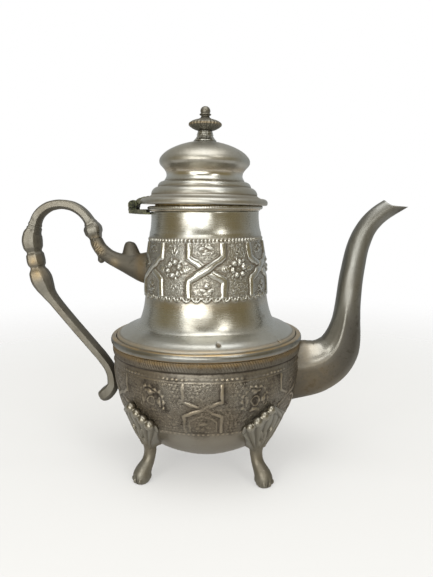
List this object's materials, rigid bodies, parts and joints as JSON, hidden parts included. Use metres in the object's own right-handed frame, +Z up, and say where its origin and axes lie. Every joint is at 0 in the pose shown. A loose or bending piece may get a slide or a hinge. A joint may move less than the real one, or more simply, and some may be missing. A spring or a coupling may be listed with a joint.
{
  "type": "footed teapot",
  "caption": "Footed silver-plated teapot: low embossed bowl, tall flared neck, hinged domed lid with finial, swan spout and cast loop handle on cabriole feet.",
  "frame": {"origin": "midway between the spout's tip and the handle's back, on the plane the feet stand on; the pot's axis is at x = -3.7 mm", "axes": "+Z up along the pot's axis, +X towards the spout, -X towards the handle and the lid's hinge, -Y the side shown in the picture"},
  "size_m": [0.2758, 0.1384, 0.2566],
  "materials": {
    "silver_plate": "worn silver plate over brass, polished on the high spots, brown in the recesses",
    "chased_silver": "embossed and chased silver plate, tarnished dark",
    "bright_silver": "smooth bright silver plate, brass showing at the edges",
    "cast_silver": "cast brass, plated, tarnished in the folds",
    "hinge_patina": "brass with a green-yellow patina",
    "inner_brass": "dull bare brass"
  },
  "bodies": {
    "pot": {"bowl": "chased_silver", "neck": "silver_plate", "shoulder_ring": "bright_silver", "mouth_collar": "silver_plate", "spout": "bright_silver", "spout_strainer": "inner_brass", "handle_bracket": "cast_silver", "handle_loop": "cast_silver", "hinge_body_leaf": "hinge_patina", "hinge_pin": "hinge_patina", "foot_front_right": "cast_silver", "foot_front_left": "cast_silver", "foot_rear_left": "cast_silver", "foot_rear_right": "cast_silver"},
    "lid": {"lid_shell": "silver_plate", "lid_bezel": "inner_brass", "hinge_lid_leaf": "hinge_patina", "finial_base": "silver_plate", "finial_disc": "bright_silver", "finial_knob": "silver_plate", "finial_stud": "inner_brass", "finial_washer": "inner_brass", "finial_nut": "inner_brass"}
  },
  "joints": [
    {"name": "lid_hinge", "type": "hinge", "parent": "pot", "child": "lid", "pos_m": [-0.05493, 0, 0.1894], "axis": [0, -1, 0], "range_deg": [0, 105]}
  ]
}
